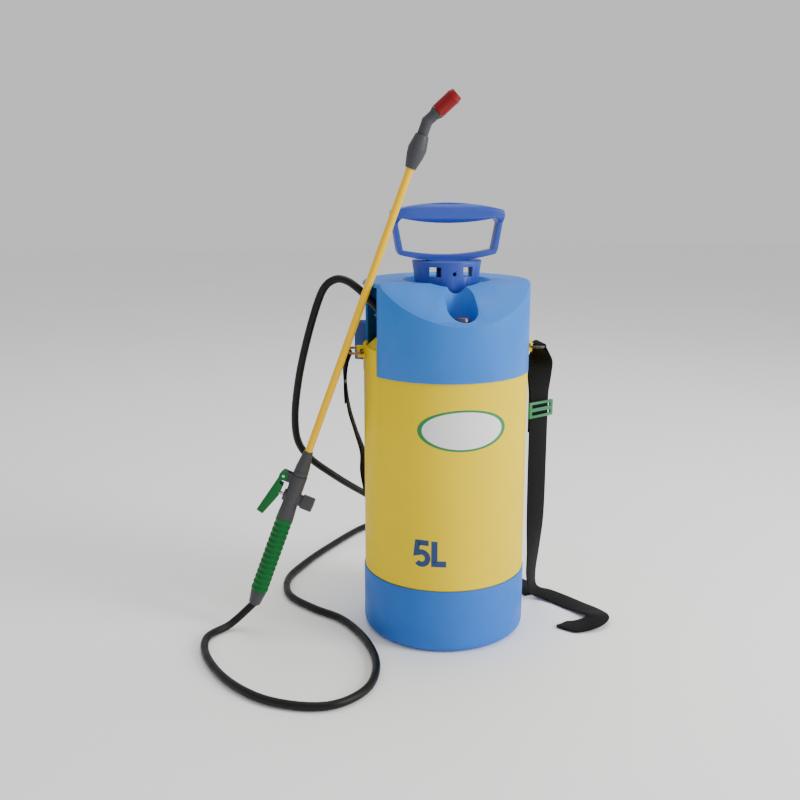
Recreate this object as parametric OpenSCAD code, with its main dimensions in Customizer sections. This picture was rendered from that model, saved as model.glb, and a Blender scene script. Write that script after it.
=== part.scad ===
// Compression shoulder sprayer: yellow tank, blue base cup and top cover,
// hand pump with a D-handle, hose, trigger gun, straight lance and nozzle.
// Millimetres. The origin is the centre of the base, on the floor; +Z is up.
// The scoop in the cover faces -Y and the two strap lugs lie on -X and +X.

/* [Tank] */
// Outer diameter of the base cup and the top cover
body_d = 180; // [165:1:200]
// Height of the base cup
base_h = 70; // [55:1:85]
// Height of the yellow wall that shows between the base cup and the cover
band_h = 224; // [185:1:270]
// Wall thickness of the tank
tank_wall = 2.5; // [2:0.1:3]
// Outer diameter of the threaded neck
neck_d = 60; // [54:1:66]

/* [Cover] */
// Height of the cover, from its lower edge to its flat top
cover_h = 96; // [92:1:110]
// Wall thickness of the base cup and the cover
cup_wall = 2.5; // [2:0.1:3]
// Distance from the axis to the top edge of the slanted front facet
facet_in = 39; // [37:1:42]
// Height of the slanted front facet
facet_h = 39; // [34:1:42]
// Width of the half-round channel in the facet
channel_w = 32; // [28:1:36]
// Half width of the side cut-outs over the strap lugs
cutout_half = 37; // [30:1:40]

/* [Pump] */
// Outer diameter of the pump barrel
barrel_d = 42; // [36:1:46]
// Diameter of the piston rod
rod_d = 10; // [8:0.5:12]
// Travel of the piston
stroke = 200; // [120:5:205]
// Height of the pump cap
cap_h = 28; // [25:1:30]

/* [Handle] */
// Width of the D-handle
grip_w = 120; // [105:1:130]
// Height of the D-handle above its skirt
grip_h = 60; // [56:1:68]
// Depth of the grip bar
grip_t = 24; // [20:1:28]
// Height of the skirt under the D-handle
skirt_h = 36; // [34:1:40]

/* [Lance] */
// Outer diameter of the lance tube
lance_d = 8; // [7:0.5:10]
// Length of the lance tube that shows
lance_len = 315; // [240:1:380]
// Tilt of the gun and lance from upright, in degrees
lance_tilt = 20.3; // [17:0.1:22]
// Bend of the nozzle elbow, in degrees
elbow_bend = 28; // [20:1:35]

/* [Gun] */
// Diameter of the ribbed grip sleeve
sleeve_d = 19; // [17:0.5:21]
// Length of the ribbed grip sleeve
sleeve_len = 92; // [66:1:96]
// Number of grooves in the grip sleeve
sleeve_grooves = 13; // [8:1:15]
// Length of the trigger lever
lever_len = 50; // [42:1:58]
// Diameter of the trigger pin
lever_pin_d = 3; // [2.5:0.1:3.5]

/* [Hose and strap] */
// Outer diameter of the hose
hose_d = 8.5; // [8:0.5:9]
// Width of the strap webbing
strap_w = 28; // [22:1:30]
// Thickness of the strap webbing
strap_t = 1.6; // [1.2:0.1:2]
// Diameter of the wire of the strap rings
ring_wire = 3; // [2.5:0.1:3.5]

/* [Hidden] */
$fn = 48;
eps = 0.01;
// Clearances
fit = 0.3;
run = 0.05;
// Tank
body_r = body_d / 2;
tank_r = body_r - 1;
seat_r = body_r - cup_wall - fit;
tank_z = 6;
cover_z = base_h + band_h;
top_z = cover_z + cover_h;
shoulder_z = cover_z + 22;
neck_r = neck_d / 2;
neck_z = top_z - 46;
neck_top = top_z - 24;
neck_bore = neck_r - 4;
base_edge = 8;
top_edge = 5;
// Strap lugs
lug_z = cover_z + 22;
lug_top = cover_z + 27;
lug_half = cutout_half - 3;
eye_r = body_r + 3;
eye_t = 8;
eye_d = ring_wire + 1.6;
cutout_roof = top_z - 4;
// Cover
facet_tilt = atan2(facet_h, body_r - facet_in);
channel_r = channel_w / 2;
channel_back = -(facet_in + channel_r + 1);
channel_front = -(body_r - channel_r - 5);
channel_z = top_z - facet_h - 1;
dish_r = 47;
dish_foot = 38;
dish_z = top_z - 14;
// Pump
cap_r = neck_r + 4;
cap_z = dish_z - 2;
cap_gap = 0.6;
hole_r = cap_r + 1.5;
barrel_r = barrel_d / 2;
barrel_bore = barrel_r - 2;
rod_r = rod_d / 2;
barrel_top = neck_top + 1.5;
flange_t = 3;
piston_z = 84;
piston_h = 16;
barrel_z = piston_z - 18;
guide_h = 22;
boss_r = 24;
boss_h = 14;
// Handle
skirt_z = cap_z + fit;
grip_z = skirt_z + skirt_h;
handle_top = grip_z + grip_h;
skirt_r1 = 32;
skirt_r2 = 37;
skirt_wall = 3;
socket_r = 11;
frame_t = 6;
grip_taper = 5;
eye_bend = 800;
eye_deep = 1.2;
frame_depth = 14;
bar_h = 21;
rod_top = grip_z + 2;
// Lance clip
clip_az = 148;
clip_z = cover_z + 4;
// Strap rings
ring_in = body_r + 3;
ring_out = body_r + 17;
// Relief valve
relief_y = -(body_r - channel_r - 7);
relief_r = 9;
relief_h = 13;
relief_seat_z = channel_z - 14;
relief_travel = 3;
relief_floor = 2;
relief_plug = relief_floor + 2;
relief_cap_t = 1.5;
relief_cap_z = relief_h - relief_cap_t;
relief_knob_z = relief_h + 0.4;
// Lance frame
lean_az = 198;
lean_r = body_r + lance_d / 2 - 0.5;
lance_az = -18.7;
foot_z = 30;
lean_z = top_z - 1;
foot_drop = (lean_z - foot_z) * tan(lance_tilt);
foot_x = lean_r * cos(lean_az) - foot_drop * cos(lance_az);
foot_y = lean_r * sin(lean_az) - foot_drop * sin(lance_az);
// Gun stations along the lance axis, from the foot
end_cap_len = 18;
sleeve_s = end_cap_len;
body_s = sleeve_s + sleeve_len;
valve_s = body_s + 25;
pivot_s = valve_s + 21;
body_end_s = pivot_s + 6;
nut_len = 29;
tube_s = body_end_s + nut_len;
tube_end_s = tube_s + lance_len;
core_r = 5.5;
head_r = 8.5;
pivot_x = -16;
lever_angle = 14;
lever_w = 12;
lever_t = 4;
lever_deep = 7;
lever_tip = 4;
stem_r = 2;
stem_x0 = -20.3;
stem_x1 = 3;
spring_len = 8;
valve_cap_r = 8;
valve_cap_x = 13;
socket_in = 16;
union_len = 34;
union_r = 9.5;
elbow_r = 5.5;
elbow_s = tube_end_s + union_len - 4;
elbow_bend_r = 22;
elbow_straight = 12;
knee = elbow_bend_r * tan(elbow_bend / 2);
nozzle_len = 25;
nozzle_r = 7.75;
nozzle_gap = 0.4;
// Hose
hose_r = hose_d / 2;
outlet_p = [-72, 6, 358];
outlet_az = 158.5;
outlet_up = 45;
dip_reach = 42;
dip_x = outlet_p[0] - dip_reach * cos(outlet_up) * cos(outlet_az);
dip_y = outlet_p[1] - dip_reach * cos(outlet_up) * sin(outlet_az);
dip_z = outlet_p[2] - dip_reach * sin(outlet_up);
hose_route = [
    [-72, 6, 358], [-82, 10, 369], [-93, 14, 380], [-104, 18, 388], [-115, 23, 390],
    [-126, 28, 383], [-134, 34, 366], [-145, 41, 328], [-155, 51, 281], [-160, 62, 233],
    [-156, 74, 198], [-140, 89, 172], [-116, 109, 148], [-90, 132, 124], [-64, 154, 102],
    [-34, 174, 78], [0, 193, 54], [30, 212, 34], [52, 236, 18], [60, 264, 7],
    [50, 292, 4.25], [24, 310, 4.25], [-10, 312, 4.25], [-49, 294, 4.25], [-103, 232, 4.25],
    [-143, 178, 4.25], [-168, 132, 4.25], [-170, 84, 4.25], [-146, 42, 4.25], [-116, 5, 4.25],
    [-98, -50, 4.25], [-96, -106, 4.25], [-115, -153, 4.25], [-156, -175, 4.25],
    [-208, -156, 4.25], [-246, -112, 4.25], [-268, -55, 4.25], [-268, -10, 4.25],
    [-242, 14, 6.25], [foot_x, foot_y, foot_z]];
// Strap: each stop is a place of the middle line and the heading of the width
strap_left_route = [
    [[-107, 3, 312], [0, 1, 0]], [[-109, 5, 290], [0.1, 1, 0]], [[-106, 10, 255], [0.2, 1, 0]],
    [[-97, 22, 224], [0.2, 1, 0]], [[-87, 38, 195], [0.3, 1, 0]], [[-80, 54, 165], [0.6, 0.8, 0]],
    [[-68, 72, 120], [0.7, 0.7, 0]], [[-54, 92, 70], [0.7, 0.7, 0]], [[-40, 112, 26], [0.4, 0.9, 0]],
    [[-22, 128, 6], [0, 1, 0]], [[0, 136, 1.5], [0, 1, 0]], [[30, 138, 1.2], [-0.1, 1, 0]]];
strap_floor_route = [
    [[30, 138, 1.2], [-0.1, 1, 0]], [[68, 124, 1.2], [0.4, 1, 0]], [[98, 98, 1.2], [1, 1, 0]],
    [[116, 66, 1.2], [1, 0.5, 0]], [[124, 40, 1.2], [1, 0.3, 0]]];
strap_right_route = [
    [[107, 0, 312], [0, 1, 0]], [[106, -6, 290], [0.5, 0.9, 0]], [[104.5, -11, 262], [0.9, 0.45, 0]],
    [[104, -12, 240], [0.9, 0.44, 0]], [[104, -12, 180], [0.9, 0.44, 0]],
    [[104, -12, 120], [0.9, 0.5, 0]], [[105, -6, 78], [0.8, 0.7, 0]], [[109, 10, 42], [0.7, 0.8, 0]],
    [[117, 26, 16], [0.6, 0.9, 0]], [[126, 33, 5.5], [0.6, 0.9, 0]], [[136, 30, 3.2], [0.7, 0.8, 0]],
    [[148, 16, 1.6], [0.8, 0.6, 0]], [[158, -2, 1.6], [0.9, 0.3, 0]], [[168, -22, 3], [1, 0.1, 0]],
    [[172, -42, 6], [0.9, -0.5, 0]], [[162, -55, 5], [0.3, -1, 0]], [[146, -57, 2], [0, -1, 0]],
    [[130, -55, 1.4], [0, -1, 0]], [[120, -51, 1.4], [-0.2, -1, 0]]];
slider_z = 246;
slider_p = [104.1, -11.9, slider_z];
slider_az = -64;
slider_w = strap_w + 8;
slider_off = strap_t / 2 + 0.5;

// ---- helpers ----
// A point of a smooth curve through a list of points, at span i and share t
function blend(a, b, c, d, t) = 0.5 * (2 * b + (c - a) * t
    + (2 * a - 5 * b + 4 * c - d) * t * t + (3 * b - a - 3 * c + d) * t * t * t);
function span(p, i, t) = blend(p[max(i - 1, 0)], p[i], p[i + 1], p[min(i + 2, len(p) - 1)], t);
// The whole curve, with n steps in each span
function smooth(p, n) = [for (i = [0:len(p) - 2], k = [0:n - 1]) span(p, i, k / n), p[len(p) - 1]];
function unit(v) = v / norm(v);
function heading(p, i) = unit(p[min(i + 1, len(p) - 1)] - p[max(i - 1, 0)]);
function upright(t, v) = unit(v - (v * t) * t);
// Faces of a closed skin over rings of n points each
function skin_faces(rings, n) = concat([[for (k = [n - 1:-1:0]) k]],
    [for (i = [0:rings - 2], k = [0:n - 1]) [i * n + k, i * n + (k + 1) % n, (i + 1) * n + k]],
    [for (i = [1:rings - 1], k = [0:n - 1]) [i * n + k, (i - 1) * n + (k + 1) % n, i * n + (k + 1) % n]],
    [[for (k = [0:n - 1]) (rings - 1) * n + k]]);

// A round tube along points; each ring is turned as little as possible from the last
function carry(p, i, u) = i >= len(p) ? [] :
    let (v = upright(heading(p, i), u)) concat([v], carry(p, i + 1, v));
module swept_tube(p, r, sides) {
    us = carry(p, 0, [0.1, 0.2, 1]);
    pts = [for (i = [0:len(p) - 1], k = [0:sides - 1])
        let (t = heading(p, i), u = us[i], v = cross(t, u), a = 360 * k / sides)
        p[i] + r * (cos(a) * u + sin(a) * v)];
    polyhedron(pts, skin_faces(len(p), sides), convexity = 6);
}

// A flat band along stops of [place, width heading]
module swept_band(stops, w, t, n) {
    p = smooth([for (s = stops) s[0]], n);
    d = smooth([for (s = stops) s[1]], n);
    pts = [for (i = [0:len(p) - 1], c = [[1, 1], [-1, 1], [-1, -1], [1, -1]])
        let (h = heading(p, i), a = upright(h, d[i]), b = cross(h, a))
        p[i] + c[0] * a * w / 2 + c[1] * b * t / 2];
    polyhedron(pts, skin_faces(len(p), 4), convexity = 6);
}

module ring(r_out, r_in, h) {
    difference() {
        cylinder(r = r_out, h = h);
        translate([0, 0, -1]) cylinder(r = r_in, h = h + 2);
    }
}

module rounded(w, h, r) {
    square([w - 2 * r, h], center = true);
    square([w, h - 2 * r], center = true);
    for (x = [-1, 1], y = [-1, 1]) translate([x * (w / 2 - r), y * (h / 2 - r)]) circle(r = r);
}

// Puts its children on the lance axis, s above the foot of the gun
module on_lance(s) {
    translate([foot_x, foot_y, foot_z]) rotate([0, lance_tilt, lance_az]) translate([0, 0, s])
        children();
}

// Puts its children at the outlet, with +Z along the hose as it leaves
module at_outlet(s) {
    translate(outlet_p) rotate([0, 90 - outlet_up, outlet_az]) translate([0, 0, s]) children();
}

// Puts its children on the elbow's outlet axis
module at_elbow_end(s) {
    on_lance(elbow_s + elbow_straight) translate([elbow_bend_r, 0, 0]) rotate([0, elbow_bend, 0])
        translate([-elbow_bend_r, 0, s]) children();
}

// ---- tank ----
module tank_form(g) {
    rotate_extrude() polygon([[0, tank_z + g], [seat_r - 8 - g, tank_z + g], [seat_r - g, tank_z + 8],
        [seat_r - g, base_h - g], [tank_r - g, base_h + 1 - g], [tank_r - g, cover_z - g],
        [seat_r - g, cover_z - g], [seat_r - g, shoulder_z - g], [seat_r - 10 - g, shoulder_z + 9 - g],
        [neck_r - g, neck_z - g], [0, neck_z - g]]);
}

module lug(side) {
    difference() {
        union() {
            intersection() {
                translate([side > 0 ? tank_r - 8 : -tank_r - 2, -lug_half, cover_z])
                    cube([10, 2 * lug_half, lug_top - cover_z]);
                ring(tank_r + 0.6, seat_r - 1, 1000);
            }
            translate([side > 0 ? seat_r - 1 : -eye_r - 4, -eye_t / 2, lug_z - 7])
                cube([eye_r + 5 - seat_r, eye_t, 12]);
        }
        translate([side * eye_r, eye_t, lug_z]) rotate([90, 0, 0]) cylinder(d = eye_d, h = 2 * eye_t);
    }
}

module outlet_boss(r, from, to) {
    at_outlet(from) cylinder(r = r, h = to - from);
}

module tank() {
    color("gold") difference() {
        union() {
            tank_form(0);
            translate([0, 0, neck_z - 1]) cylinder(r = neck_r, h = neck_top - neck_z + 1);
            for (side = [-1, 1]) lug(side);
            outlet_boss(10, -34, -20);
            translate([0, relief_y, relief_seat_z - 16]) cylinder(r = relief_r + 3, h = 16);
        }
        tank_form(tank_wall);
        translate([0, 0, neck_z - 10]) cylinder(r = neck_bore, h = neck_top - neck_z + 11);
        outlet_boss(5 + run, -44, -10);
        translate([0, relief_y, relief_seat_z - 30]) cylinder(r = 5 + run, h = 40);
    }
}

module base_cup() {
    color("dodgerblue") difference() {
        rotate_extrude() union() {
            square([body_r - base_edge, base_h]);
            translate([0, base_edge]) square([body_r, base_h - base_edge]);
            translate([body_r - base_edge, base_edge]) circle(r = base_edge);
        }
        translate([0, 0, tank_z]) rotate_extrude() polygon([[0, 0], [seat_r - 8 + fit, 0],
            [seat_r + fit, 8], [seat_r + fit, base_h], [0, base_h]]);
        translate([0, 0, -1]) ring(body_r - 24, body_r - 54, 4);
    }
}

// ---- cover ----
module facet_cut(g) {
    translate([0, -facet_in + g * tan(facet_tilt / 2), top_z - g]) rotate([facet_tilt, 0, 0])
        translate([-body_d, -body_d, 0]) cube([2 * body_d, body_d, body_d]);
}

module channel_cut(g) {
    for (y = [channel_back, channel_front]) translate([0, y, channel_z - g])
        cylinder(r = channel_r + g, h = cover_h);
    translate([-channel_r - g, channel_front, channel_z - g])
        cube([channel_w + 2 * g, channel_back - channel_front, cover_h]);
}

module dish_cut(g) {
    translate([0, 0, dish_z - g])
        cylinder(r1 = dish_foot + g, r2 = dish_r + g + 0.5, h = top_z - dish_z + g + 1);
}

module cover_form(g) {
    difference() {
        rotate_extrude() union() {
            translate([0, cover_z - g]) square([body_r - g, cover_h - top_edge + g]);
            translate([0, cover_z - g]) square([body_r - top_edge, cover_h]);
            translate([body_r - top_edge, top_z - top_edge]) circle(r = top_edge - g);
        }
        facet_cut(g);
        channel_cut(g);
        dish_cut(g);
    }
}

module cover() {
    color("steelblue") difference() {
        cover_form(0);
        cover_form(cup_wall);
        translate([0, 0, cover_z]) cylinder(r = hole_r, h = cover_h);
        translate([0, relief_y, channel_z - 10]) cylinder(r = relief_r + 3.5, h = 12);
        for (side = [-1, 1]) translate([side > 0 ? body_r - 30 : -body_r - 30, -cutout_half, cover_z - 1])
            cube([60, 2 * cutout_half, cutout_roof - cover_z + 1]);
    }
}

// ---- neck, outlet and relief valve ----
module neck_gasket() {
    color("black") translate([0, 0, neck_top]) ring(neck_r - 0.5, barrel_r + 1, 1.5);
}

module dip_tube() {
    color("white") difference() {
        union() {
            at_outlet(-42) cylinder(r = 3.5, h = 15.5);
            dip_leg(3.6, 0);
        }
        at_outlet(-42) cylinder(r = 2.2, h = 20);
        dip_leg(2.3, 1);
    }
}

module dip_leg(r, g) {
    translate([dip_x, dip_y, tank_z + 22 - g]) cylinder(r = r, h = dip_z - tank_z - 20);
}

module dip_filter() {
    color("gray") translate([dip_x, dip_y, tank_z + tank_wall + fit]) difference() {
        cylinder(r = 8, h = 24);
        translate([0, 0, 19.5 - tank_wall - fit]) cylinder(r = 3.6 + run, h = 12);
        translate([0, 0, 2]) cylinder(r = 6, h = 12);
    }
}

module outlet_gasket() {
    color("black") at_outlet(-20) ring(9, 5 + run, 1.2);
}

module outlet_fitting() {
    color("dimgray") difference() {
        union() {
            at_outlet(-18.8) cylinder(r = 9, h = 5, $fn = 6);
            at_outlet(-28) cylinder(r = 5, h = 12);
            at_outlet(-14) cylinder(r = 6, h = 13.7);
        }
        at_outlet(-29) cylinder(r = 3.5 + run, h = 3);
        at_outlet(-28) cylinder(r = 2.2, h = 30);
    }
}

module outlet_nut() {
    color("black") at_outlet(-13.5) difference() {
        ring(8, 6 + run, 13.5);
        for (a = [0:30:330]) rotate([0, 0, a]) translate([8.4, 0, -1]) cylinder(r = 0.9, h = 12);
    }
}

module hose() {
    color([0.06, 0.06, 0.06]) swept_tube(smooth(hose_route, 2), hose_r, 10);
}

module at_relief(z) {
    translate([0, relief_y, relief_seat_z + z]) children();
}

module relief_body() {
    color("gray") at_relief(0) difference() {
        union() {
            cylinder(r = relief_r, h = relief_h);
            translate([0, 0, -18]) cylinder(r = 5, h = 19);
        }
        translate([0, 0, relief_floor]) cylinder(r = relief_r - 2, h = relief_h);
        translate([0, 0, -20]) cylinder(r = 2.6, h = 40);
    }
}

module relief_seal() {
    color("black") at_relief(relief_floor) ring(6, 2.6, relief_plug - relief_floor - run);
}

module relief_knob() {
    color("rebeccapurple") {
        at_relief(relief_knob_z) cylinder(r = relief_r + 1.2, h = 3);
        at_relief(relief_knob_z + 3 - eps) cylinder(r1 = relief_r + 1.2, r2 = relief_r - 1, h = 6);
        at_relief(relief_plug) cylinder(r = 2, h = relief_h + 2);
        at_relief(relief_plug) cylinder(r = 5.5, h = 2);
    }
}

// The cap that the spring pushes against
module relief_cap() {
    color("gray") at_relief(relief_cap_z) ring(relief_r - 2 - run, 2 + run, relief_cap_t);
}

module relief_spring() {
    color("silver") at_relief(relief_plug + 2 + run)
        ring(5, 3.5, relief_cap_z - relief_plug - 2 - 2 * run);
}

module lance_clip() {
    color("royalblue") translate([0, 0, clip_z]) rotate([0, 0, clip_az]) {
        difference() {
            translate([body_r - cup_wall - 4, -9, 0]) cube([cup_wall + 18, 18, 42]);
            cylinder(r = body_r + fit, h = 200, center = true);
            translate([body_r + 8, 0, -1]) cylinder(r = 5.2, h = 60);
            translate([body_r + 8, -3.6, -1]) cube([20, 7.2, 60]);
        }
    }
}

// ---- strap ----
module strap_ring(side) {
    y = strap_w / 2 + 4;
    translate([0, 0, lug_z]) {
        for (x = [ring_in, ring_out]) translate([side * x, y, 0]) rotate([90, 0, 0])
            cylinder(d = ring_wire, h = 2 * y);
        for (v = [-y, y]) translate([side * ring_in, v, 0]) rotate([0, side * 90, 0])
            cylinder(d = ring_wire, h = ring_out - ring_in);
        for (x = [ring_in, ring_out], v = [-y, y]) translate([side * x, v, 0])
            sphere(d = ring_wire);
    }
}

module ring_left() {
    color("saddlebrown") strap_ring(-1);
}

module ring_right() {
    color("black") strap_ring(1);
}

module strap_left() {
    color("black") swept_band(strap_left_route, strap_w, strap_t, 3);
}

module strap_floor() {
    color("black") swept_band(strap_floor_route, strap_w, strap_t, 3);
}

module strap_right() {
    color("black") swept_band(strap_right_route, strap_w, strap_t, 2);
}

module strap_slider() {
    color("seagreen") translate(slider_p) rotate([0, 0, slider_az]) translate([slider_off, -slider_w / 2, -9])
        difference() {
            cube([3, slider_w, 18]);
            for (z = [3, 11]) translate([-1, 4, z]) cube([5, slider_w - 8, 4]);
        }
}

// ---- pump ----
module pump_cap() {
    color("steelblue") difference() {
        union() {
            translate([0, 0, cap_z - cap_h]) cylinder(r = cap_r, h = cap_h);
            translate([0, 0, cap_z]) cylinder(r = boss_r, h = boss_h);
        }
        translate([0, 0, cap_z - cap_h - 1])
            cylinder(r = neck_r + cap_gap, h = cap_h - (cap_z - barrel_top - flange_t) + 1);
        translate([0, 0, cap_z - cap_h]) cylinder(r = rod_r + 4, h = 100);
        translate([0, 0, barrel_top + flange_t - 1])
            cylinder(r = boss_r - 10, h = cap_z + boss_h - 3 - barrel_top - flange_t + 1);
        for (a = [0:20:340]) rotate([0, 0, a]) translate([cap_r + 1, 0, cap_z - cap_h - 1])
            cylinder(r = 2, h = cap_h - 6);
    }
}

module pump_barrel() {
    color("whitesmoke") difference() {
        union() {
            translate([0, 0, barrel_z]) cylinder(r = barrel_r, h = barrel_top - barrel_z + 1);
            translate([0, 0, barrel_top]) cylinder(r = neck_r - 0.5, h = flange_t);
        }
        translate([0, 0, barrel_z + 4]) cylinder(r = barrel_bore, h = 400);
        for (a = [0:60:300]) rotate([0, 0, a]) translate([9, 0, barrel_z - 1]) cylinder(r = 1.6, h = 8);
        translate([0, 0, barrel_z - 1]) cylinder(r = 2.5 + run, h = 10);
    }
}

module rod_guide() {
    color("gray") difference() {
        union() {
            translate([0, 0, barrel_top + flange_t - guide_h]) cylinder(r = barrel_bore - run, h = guide_h);
            translate([0, 0, barrel_top + flange_t - eps]) cylinder(r = rod_r + 4 - run, h = 6);
        }
        translate([0, 0, neck_z]) cylinder(r = rod_r + run, h = 200, center = true);
    }
}

module guide_seal() {
    color("black") translate([0, 0, barrel_top + flange_t + 6]) ring(boss_r - 10 - run, rod_r + run, 3);
}

module check_valve() {
    color("black") translate([0, 0, barrel_z]) {
        translate([0, 0, -2.2]) cylinder(r = 12, h = 2.2);
        translate([0, 0, -eps]) cylinder(r = 2.5, h = 5);
        translate([0, 0, 4]) cylinder(r1 = 3.4, r2 = 2, h = 3);
    }
}

module piston_rod() {
    color("silver") difference() {
        translate([0, 0, piston_z - 8]) cylinder(r = rod_r, h = rod_top - piston_z + 8);
        translate([0, 0, skirt_z + 24]) rotate([90, 0, 0]) cylinder(r = 2 + run, h = 30, center = true);
    }
}

module piston() {
    color("white") difference() {
        translate([0, 0, piston_z]) cylinder(r = barrel_bore - 0.6, h = piston_h);
        translate([0, 0, piston_z + 4]) ring(barrel_bore + 1, barrel_bore - 3.5, 7);
        translate([0, 0, piston_z - 1]) cylinder(r = rod_r + run, h = piston_h + 2);
    }
}

module cup_seal() {
    color("black") translate([0, 0, piston_z + 4.2]) ring(barrel_bore - run, barrel_bore - 3.2, 6.6);
}

module rod_nut() {
    color("silver") translate([0, 0, piston_z - 6]) difference() {
        cylinder(r = 9, h = 6, $fn = 6);
        translate([0, 0, -1]) cylinder(r = rod_r + run, h = 8);
    }
}

// ---- handle ----
// An outline of the D-grip, wider at the top than at the foot
module grip_corners(in, foot, top, r_foot, r_top) {
    hull() for (side = [-1, 1]) {
        translate([side * (grip_w / 2 - grip_taper - in - r_foot), foot + r_foot]) circle(r = r_foot);
        translate([side * (grip_w / 2 - in - r_top), top - r_top]) circle(r = r_top);
    }
}

module grip_outline() {
    intersection() {
        grip_corners(0, 0, grip_h, 16, 14);
        translate([0, grip_h - 230]) circle(r = 230, $fn = 180);
        translate([0, 200 - 0.5]) circle(r = 200, $fn = 180);
    }
}

module grip_window() {
    intersection() {
        grip_corners(frame_t, frame_t - 2, grip_h - bar_h + 6, 9, 7);
        translate([0, 240 + frame_t]) circle(r = 240, $fn = 180);
        translate([0, grip_h - bar_h + 250]) difference() {
            translate([0, -250]) square([grip_w, 500], center = true);
            circle(r = 250, $fn = 180);
        }
    }
}

module skirt_window(x, w, z, h) {
    translate([x - w / 2, -50, skirt_z + z]) cube([w, 50, h]);
}

module handle() {
    color("royalblue") difference() {
        union() {
            intersection() {
                translate([0, 0, grip_z]) rotate([90, 0, 0])
                    linear_extrude(height = grip_t, center = true) difference() {
                        grip_outline();
                        grip_window();
                    }
                union() {
                    translate([-grip_w, -frame_depth / 2, grip_z - 5])
                        cube([2 * grip_w, frame_depth, grip_h + 10]);
                    translate([-grip_w, 0, handle_top - 11]) rotate([0, 90, 0])
                        cylinder(r = grip_t / 2, h = 2 * grip_w);
                }
            }
            difference() {
                translate([0, 0, skirt_z]) cylinder(r1 = skirt_r1, r2 = skirt_r2, h = skirt_h);
                translate([0, 0, skirt_z - 1])
                    cylinder(r1 = skirt_r1 - skirt_wall, r2 = skirt_r2 - skirt_wall, h = skirt_h - 3);
                skirt_window(-19, 11, 21, 10);
                skirt_window(15, 11, 21, 10);
                translate([-29, 10, skirt_z + 5]) cube([58, 40, 24]);
            }
            translate([0, 0, skirt_z + boss_h + 3]) cylinder(r = socket_r, h = skirt_h - boss_h - 3);
        }
        cylinder(r = rod_r + run, h = rod_top);
        translate([0, 0, skirt_z + 24]) rotate([90, 0, 0]) cylinder(r = 2 + run, h = 100, center = true);
        for (side = [-1, 1]) translate([0, side * (grip_t / 2 - eye_deep + eye_bend), handle_top - 17])
            cylinder(r = eye_bend, h = 12, $fn = 720);
    }
}

module handle_pin() {
    color("silver") translate([0, 0, skirt_z + 24]) rotate([90, 0, 0])
        cylinder(r = 2, h = 2 * socket_r - 2, center = true);
}

// ---- gun ----
module gun_body() {
    color("dimgray") difference() {
        union() {
            on_lance(sleeve_s - 10) cylinder(r = core_r, h = sleeve_len + 12);
            on_lance(body_s) cylinder(r1 = sleeve_d / 2, r2 = head_r, h = 14);
            on_lance(body_s + 13.9) cylinder(r = head_r, h = body_end_s - body_s - 13.9);
            on_lance(valve_s) translate([-10, 0, 0]) rotate([0, 90, 0]) cylinder(r = 6.5, h = 21);
            for (side = [-1, 1]) on_lance(pivot_s) translate([pivot_x - 3, side * (lever_w / 2 - 2) - 1, -5])
                cube([13, 2, 10]);
            on_lance(body_end_s - eps) cylinder(r = 6, h = 12);
        }
        on_lance(sleeve_s - 12) cylinder(r = 3, h = valve_s - sleeve_s + 10);
        on_lance(valve_s + 4) cylinder(r = 2.5, h = 60);
        on_lance(tube_s - nut_len) cylinder(r = lance_d / 2 + run, h = 30);
        on_lance(valve_s) translate([-12, 0, 0]) rotate([0, 90, 0]) cylinder(r = stem_r + run, h = 30);
        on_lance(valve_s) translate([-2, 0, 0]) rotate([0, 90, 0]) cylinder(r = 4.5, h = 20);
        on_lance(pivot_s) translate([pivot_x, 0, 0]) rotate([90, 0, 0])
            cylinder(d = lever_pin_d + 2 * run, h = 30, center = true);
    }
}

module grip_sleeve() {
    groove = (sleeve_len - 6) / sleeve_grooves;
    color("green") on_lance(sleeve_s) difference() {
        cylinder(r = sleeve_d / 2, h = sleeve_len - fit);
        translate([0, 0, -1]) cylinder(r = core_r + run, h = sleeve_len + 2);
        for (i = [0:sleeve_grooves - 1]) translate([0, 0, 4 + groove * i])
            intersection() {
                ring(sleeve_d, sleeve_d / 2 - 1.2, groove * 0.5);
                translate([-30 - sleeve_d / 4, -30, -5]) cube([60 - 2, 60, 30]);
            }
    }
}

module gun_end_cap() {
    color("dimgray") on_lance(0) difference() {
        cylinder(r1 = 6.5, r2 = sleeve_d / 2 - 0.5, h = end_cap_len - fit);
        translate([0, 0, 8]) cylinder(r = core_r + run, h = end_cap_len);
        translate([0, 0, 3]) cylinder(r = 3, h = 10);
    }
}

module gun_filter() {
    color("white") on_lance(sleeve_s + 2) ring(3 - run, 2, 30);
}

module valve_cap() {
    color("dimgray") on_lance(valve_s) translate([11.3, 0, 0]) rotate([0, 90, 0]) difference() {
        cylinder(r = valve_cap_r, h = valve_cap_x);
        translate([0, 0, -1]) cylinder(r = 3, h = 7);
    }
}

module valve_seal() {
    color("black") on_lance(valve_s) translate([-1.9, 0, 0]) rotate([0, 90, 0]) ring(4.4, stem_r + run, 2);
}

module valve_stem() {
    color("silver") on_lance(valve_s) rotate([0, 90, 0]) {
        translate([0, 0, stem_x0]) cylinder(r = stem_r, h = stem_x1 - stem_x0);
        translate([0, 0, 0.4]) cylinder(r = 3.8, h = 2.4);
    }
}

module valve_spring() {
    color("silver") on_lance(valve_s) translate([stem_x1, 0, 0]) rotate([0, 90, 0]) ring(2.9, 2.2, spring_len);
}

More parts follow.
